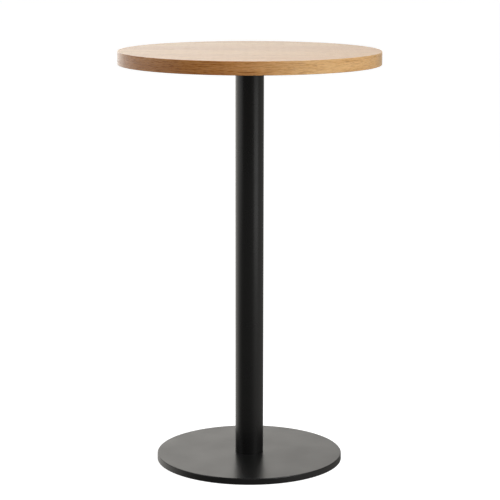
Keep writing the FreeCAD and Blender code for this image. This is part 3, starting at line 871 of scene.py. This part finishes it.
plate = {"corner": 20 * mm, "cornerSegments": 12, "edgeEase": 0.35 * mm, "holeInset": 25 * mm,
         "holeRadius": 3.25 * mm, "rodHoleRadius": 5.5 * mm, "holeSteps": 40}
woodScrew = {"faceRadius": 3.4 * mm, "headSide": 1.2 * mm, "domeRound": 0.9 * mm, "sideRound": 0.7 * mm,
             "crossWidth": 1.2 * mm, "crossSpan": 4.6 * mm, "crossDepth": 1.8 * mm,
             "crossTaperShare": 0.45, "tip": 5 * mm, "unthreaded": 5 * mm, "turnEach": 0.9}
screwThread = {"rootRadius": 1.75 * mm, "crestRadius": 2.45 * mm, "pitch": 2.4 * mm, "bevel": 0.4 * mm,
               "steps": 20}
nut = {"sides": 6, "cornerSpare": 0.02 * mm, "faceInset": 0.25 * mm, "bevel": 0.9 * mm,
       "boreRadius": 5.05 * mm, "sink": 0.5 * mm, "steps": 96}


def screwPlaces(values):
    # the corners and the middles of the sides of the plate
    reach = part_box("mounting_plate")[1].x - values["holeInset"]
    return [(side * reach, back * reach) for side in (-1, 0, 1) for back in (-1, 0, 1) if side or back]


def makePlate(values):
    low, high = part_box("mounting_plate")
    piece = addBox("mountingPlate", high - low, (low + high) / 2)
    editMesh(piece, "EDGE")
    pick(piece, "edges", lambda edge: abs(edge.verts[0].co.z - edge.verts[1].co.z) > mm)
    bpy.ops.mesh.bevel(offset=values["corner"], segments=values["cornerSegments"], affect="EDGES")
    bpy.ops.object.mode_set(mode="OBJECT")
    drills = [addCylinder("drill", values["holeRadius"], low.z - overrun, high.z + overrun,
                          values["holeSteps"], place) for place in screwPlaces(values)]
    drills.append(addCylinder("drill", values["rodHoleRadius"], low.z - overrun, high.z + overrun,
                              values["holeSteps"]))
    combine(piece, "DIFFERENCE", joinPieces("drills", drills))
    applyModifier(piece, "BEVEL", width=values["edgeEase"], segments=easeSegments, limit_method="ANGLE",
                  angle_limit=math.radians(50))
    finishPiece(piece, plateCoat, "root", "black_plate", "mounting_plate")


def makeScrews(values, thread, places):
    low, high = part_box("top_screws")
    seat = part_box("mounting_plate")[0].z
    radius = high.x - places[-1][0]
    core = thread["rootRadius"]
    screw = lathe("screw", [
        (0, low.z), (values["faceRadius"], low.z), (radius, seat - values["headSide"]), (radius, seat),
        (core, seat), (core, high.z - values["tip"]), (0, high.z)],
        [(1, values["domeRound"], roundSegments), (2, values["sideRound"], roundSegments)], steps=48)
    depth = values["crossDepth"] + overrun
    for size in ((values["crossSpan"], values["crossWidth"], depth),
                 (values["crossWidth"], values["crossSpan"], depth)):
        slot = addBox("slot", size, (0, 0, low.z - overrun + depth / 2))
        editMesh(slot, "VERT")
        pick(slot, "verts", lambda vert: vert.co.z > low.z)
        bpy.ops.transform.resize(value=(values["crossTaperShare"],) * 2 + (1,), center_override=(0, 0, 0))
        bpy.ops.object.mode_set(mode="OBJECT")
        combine(screw, "DIFFERENCE", slot)
    winding = threadedBar("screwThread", thread, seat + values["unthreaded"], high.z - values["tip"])
    screw = joinPieces("screw", [screw, winding])
    copies = [copyTo(screw, f"screw{number}", place, number * values["turnEach"])
              for number, place in enumerate(places)]
    bpy.data.objects.remove(screw)
    finishPiece(joinPieces("topScrews", copies), brightZinc, "root", "zinc_hardware", "top_screws")


def makeNut(name, node, values):
    # a hexagon bar, turned down to bevelled corners and bored
    low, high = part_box(node)
    piece = addCylinder(name, high.x, low.z - overrun, high.z + overrun, values["sides"],
                        turn=quarterTurn)
    corner = high.x + values["cornerSpare"]
    face = high.y - values["faceInset"]
    bevel = values["bevel"]
    combine(piece, "INTERSECT", lathe("turned", [
        (0, low.z), (face, low.z), (corner, low.z + bevel), (corner, high.z - bevel), (face, high.z),
        (0, high.z)], steps=values["steps"]))
    bore, sink = values["boreRadius"], values["sink"]
    combine(piece, "DIFFERENCE", lathe("bore", [
        (0, low.z - overrun), (bore + sink + overrun, low.z - overrun), (bore, low.z + sink),
        (bore, high.z - sink), (bore + sink + overrun, high.z + overrun), (0, high.z + overrun)],
        steps=values["steps"] // 2))
    finishPiece(piece, brightZinc, "root", "zinc_hardware", node, smoothAngle=25)


makePlate(plate)
makeScrews(woodScrew, screwThread, screwPlaces(plate))
makeNut("weldNut", "plate_weld_nut", nut)
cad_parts["plate_locating_ring"].data.materials[0] = plateCoat
print("plate and screws ready")

# tie rod, its washer and nut, and the two discs in the base

rodThread = {"rootRadius": 4.08 * mm, "crestRadius": 4.98 * mm, "pitch": 1.5 * mm, "bevel": 0.8 * mm,
             "steps": 40, "length": 60 * mm, "shankRadius": 4.5 * mm, "runOut": 1.5 * mm}
washer = {"bore": 5.5 * mm, "punchRound": 0.5 * mm, "burr": 0.15 * mm}
spigot = {"bore": 5.5 * mm, "chamfer": 1 * mm, "ease": 0.3 * mm}
ballast = {"recess": 20 * mm, "recessTop": 10.5 * mm, "seatDepth": 2 * mm,
           "bore": 5.5 * mm, "edgeRound": 2.5 * mm, "mouthRound": 1 * mm, "pocket": 18 * mm,
           "pocketTop": 7.8 * mm, "pocketDraft": 0.8 * mm, "pocketFillet": 1.2 * mm, "stemHole": 4 * mm}


def makeTieRod(values):
    low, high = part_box("tie_rod")
    length, run = values["length"], values["runOut"]
    shank, root = values["shankRadius"], values["rootRadius"]
    foot, head = low.z + length, high.z - length
    parts = [
        lathe("shank", [(0, foot - run), (root, foot - run), (shank, foot), (shank, head),
                        (root, head + run), (0, head + run)], steps=64),
        threadedBar("lowerThread", values, low.z, foot - run / 2),
        threadedBar("upperThread", values, head + run / 2, high.z)]
    finishPiece(joinPieces("tieRod", parts), brightZinc, "root", "zinc_hardware", "tie_rod")


def makeRing(name, node, bore, rounding, material, slotName):
    # a plain round disc with a hole, its corners numbered from the lower edge of the hole outwards
    low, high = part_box(node)
    radius = nodeRadius(node)
    piece = lathe(name, [(bore, low.z), (radius, low.z), (radius, high.z), (bore, high.z)], rounding,
                  steps=128)
    finishPiece(piece, material, "root", slotName, node)


def makeBallast(values):
    low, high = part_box("ballast_disc")
    rim = nodeRadius("ballast_disc")
    seatFloor = high.z - values["seatDepth"]
    piece = lathe("ballastDisc", [
        (values["recess"], low.z), (rim, low.z), (rim, high.z), (tubeBore, high.z),
        (tubeBore, seatFloor), (values["bore"], seatFloor), (values["bore"], values["recessTop"]),
        (values["recess"], values["recessTop"])],
        [(0, values["mouthRound"], smallRoundSegments), (1, values["edgeRound"], roundSegments),
         (2, values["edgeRound"], roundSegments)], steps=192)
    mouth = values["pocket"] + values["pocketDraft"]
    for number in glideNumbers:
        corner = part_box(f"glide_foot_{number}")
        centre = (corner[0] + corner[1]) / 2
        combine(piece, "DIFFERENCE", lathe("seatCutter", [
            (0, low.z - overrun), (mouth, low.z - overrun), (values["pocket"], values["pocketTop"]),
            (values["stemHole"], values["pocketTop"]), (values["stemHole"], high.z + overrun),
            (0, high.z + overrun)], [(2, values["pocketFillet"], smallRoundSegments)], steps=72,
            centre=centre.xy))
    finishPiece(piece, primedIron, "root", "ballast_iron", "ballast_disc")


makeTieRod(rodThread)
makeNut("tieNut", "tie_nut", nut)
makeRing("tieWasher", "tie_washer", washer["bore"],
         [(0, washer["burr"], easeSegments), (1, washer["punchRound"], smallRoundSegments),
          (2, washer["burr"], easeSegments)],
         brightZinc, "zinc_hardware")
makeRing("centringDisc", "centring_disc", spigot["bore"],
         [(1, spigot["ease"], easeSegments), (2, spigot["chamfer"], chamferSegments),
          (3, spigot["ease"], easeSegments)],
         facedSteel, "turned_steel")
makeBallast(ballast)
print("tie rod and ballast ready")

# levelling glides

glide = {"keyHole": 3.5 * mm, "soleRoom": 13.05 * mm, "soleInset": 1.5 * mm, "floorTop": 2.5 * mm,
         "headRoom": 6.1 * mm, "headTop": 5.3 * mm, "neck": 4.05 * mm, "taper": 1.5 * mm,
         "footRound": 0.8 * mm, "shoulderRound": 1.2 * mm, "flutes": 16, "fluteRadius": 1.4 * mm,
         "fluteDepth": 0.7 * mm, "fluteSteps": 20, "roundSteps": 96}
sole = {"bore": 3.5 * mm, "edge": 0.5 * mm, "grooves": 3, "grooveWidth": 0.8 * mm, "grooveDepth": 0.5 * mm}
stem = {"headHeight": 2.6 * mm, "headEase": 0.25 * mm, "neck": 3.4 * mm, "threadStart": 4.6 * mm,
        "key": 5 * mm, "keySides": 6, "keyDepth": 3 * mm, "keySink": 0.25 * mm}
stemThread = {"rootRadius": 3.3 * mm, "crestRadius": 3.94 * mm, "pitch": 1.25 * mm, "bevel": 0.7 * mm,
              "steps": 40}


def makeFoot(values):
    low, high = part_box("glide_foot_1")
    radius = (high.x - low.x) / 2
    floor, roof = low.z + values["floorTop"], low.z + values["headTop"]
    inset = low.z + values["soleInset"]
    piece = lathe("foot", [
        (values["keyHole"], inset), (values["soleRoom"], inset), (values["soleRoom"], low.z),
        (radius, low.z), (radius - values["taper"], high.z), (values["neck"], high.z),
        (values["neck"], roof), (values["headRoom"], roof), (values["headRoom"], floor),
        (values["keyHole"], floor)],
        [(3, values["footRound"], smallRoundSegments), (4, values["shoulderRound"], roundSegments)],
        steps=values["roundSteps"])
    # flutes for the fingers, which run out towards the top
    reach = radius - values["fluteDepth"] + values["fluteRadius"]
    angles = [number * fullTurn / values["flutes"] for number in range(values["flutes"])]
    cutters = [addCylinder("flute", values["fluteRadius"], low.z - overrun, high.z + overrun,
                           values["fluteSteps"], (reach * math.cos(angle), reach * math.sin(angle)))
               for angle in angles]
    combine(piece, "DIFFERENCE", joinPieces("flutes", cutters))
    return piece


def makeSole(values):
    low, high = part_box("glide_sole_1")
    radius = (high.x - low.x) / 2
    corners = [(values["bore"], low.z)]
    step = (radius - values["bore"]) / (values["grooves"] + 1)
    for number in range(values["grooves"]):
        middle = values["bore"] + (number + 1) * step
        inner, outer = middle - values["grooveWidth"] / 2, middle + values["grooveWidth"] / 2
        top = low.z + values["grooveDepth"]
        corners += [(inner, low.z), (inner, top), (outer, top), (outer, low.z)]
    corners += [(radius - values["edge"], low.z), (radius, low.z + values["edge"]), (radius, high.z),
                (values["bore"], high.z)]
    return lathe("sole", corners)


def makeStem(values, thread):
    low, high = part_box("glide_stem_1")
    radius = (high.x - low.x) / 2
    seat, start = low.z + values["headHeight"], low.z + values["threadStart"]
    head = lathe("stem", [
        (0, low.z), (radius, low.z), (radius, seat), (values["neck"], seat),
        (values["neck"], start + thread["pitch"]), (0, start + thread["pitch"])],
        [(1, values["headEase"], easeSegments), (2, values["headEase"], easeSegments)], steps=72)
    corner = values["key"] / math.sqrt(3)
    combine(head, "DIFFERENCE", addCylinder("key", corner, low.z - overrun, low.z + values["keyDepth"],
                                            values["keySides"], turn=quarterTurn))
    mouth = corner + overrun - values["keySink"]
    combine(head, "DIFFERENCE", lathe("keyMouth", [
        (0, low.z - overrun), (mouth + values["keySink"] * 2, low.z - overrun),
        (corner - values["keySink"], low.z + values["keySink"] * 2), (0, low.z + values["keySink"] * 2)]))
    return joinPieces("stem", [head, threadedBar("stemThread", thread, start, high.z)])


foot = makeFoot(glide)
pad = makeSole(sole)
spindle = makeStem(stem, stemThread)
for number in glideNumbers:
    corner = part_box(f"glide_foot_{number}")
    centre = (corner[0] + corner[1]) / 2
    finishPiece(copyTo(foot, f"glideFoot{number}", centre), footPolyamide, f"glide_foot_{number}",
                "foot_plastic", f"glide_foot_{number}")
    finishPiece(copyTo(pad, f"glideSole{number}", centre), solePolymer, f"glide_foot_{number}",
                "sole_rubber", f"glide_sole_{number}")
    finishPiece(copyTo(spindle, f"glideStem{number}", centre), brightZinc, f"glide_stem_{number}",
                "stem_steel", f"glide_stem_{number}")
for pattern in (foot, pad, spindle):
    bpy.data.objects.remove(pattern)
print("glides ready")
